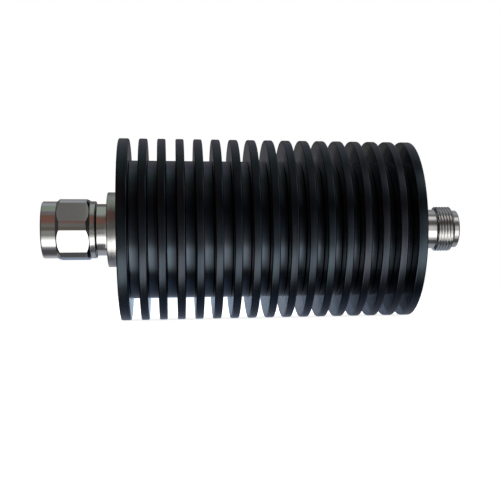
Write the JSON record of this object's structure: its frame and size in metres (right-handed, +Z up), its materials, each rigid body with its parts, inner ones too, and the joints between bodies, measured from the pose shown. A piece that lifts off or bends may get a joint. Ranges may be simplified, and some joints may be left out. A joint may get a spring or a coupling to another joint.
{
  "type": "fixed rf attenuator",
  "caption": "Fixed coaxial attenuator: a round black finned heat sink with a hex-nut plug at one end and a threaded jack at the other.",
  "frame": {"origin": "centre of the whole part's box, on the common axis", "axes": "+X along the axis from the plug to the jack, +Z up, -Y towards the viewer"},
  "size_m": [0.143, 0.0616, 0.0616],
  "materials": {
    "sink_black": "black anodised, fine turned",
    "cap_satin": "satin turned",
    "body_nickel": "bright nickel plate on brass",
    "nut_nickel": "bright nickel plate on brass",
    "sleeve_silver": "silver plate on a copper alloy",
    "contact_gold": "gold plate on a copper alloy",
    "bead_white": "white insulator",
    "gasket_red": "soft silicone",
    "spring_steel": "hardened, bright",
    "core_alloy": "plain machined",
    "chip_base": "nickel plate on copper",
    "chip_ceramic": "fired ceramic",
    "chip_lid": "fired ceramic",
    "screw_steel": "bright"
  },
  "bodies": {
    "attenuator": {"heat_sink": "sink_black", "plug_end_cap": "cap_satin", "plug_body": "body_nickel", "plug_outer_contact": "sleeve_silver", "plug_bead": "bead_white", "plug_pin": "contact_gold", "plug_gasket": "gasket_red", "nut_retaining_ring": "spring_steel", "jack_end_cap": "cap_satin", "jack_body": "body_nickel", "jack_bead": "bead_white", "jack_contact": "contact_gold", "core_carrier": "core_alloy", "core_cover": "core_alloy", "input_chip_base": "chip_base", "input_chip_ceramic": "chip_ceramic", "input_chip_lid": "chip_lid", "output_chip_base": "chip_base", "output_chip_ceramic": "chip_ceramic", "output_chip_lid": "chip_lid", "input_tab": "contact_gold", "link_tab": "contact_gold", "output_tab": "contact_gold", "input_chip_screw_1": "screw_steel", "input_chip_screw_2": "screw_steel", "output_chip_screw_1": "screw_steel", "output_chip_screw_2": "screw_steel"},
    "nut": {"coupling_nut": "nut_nickel"}
  },
  "joints": [
    {"name": "nut_spin", "type": "hinge", "parent": "attenuator", "child": "nut", "pos_m": [-0.06285, 0, 0], "axis": [1, 0, 0], "continuous": true}
  ]
}
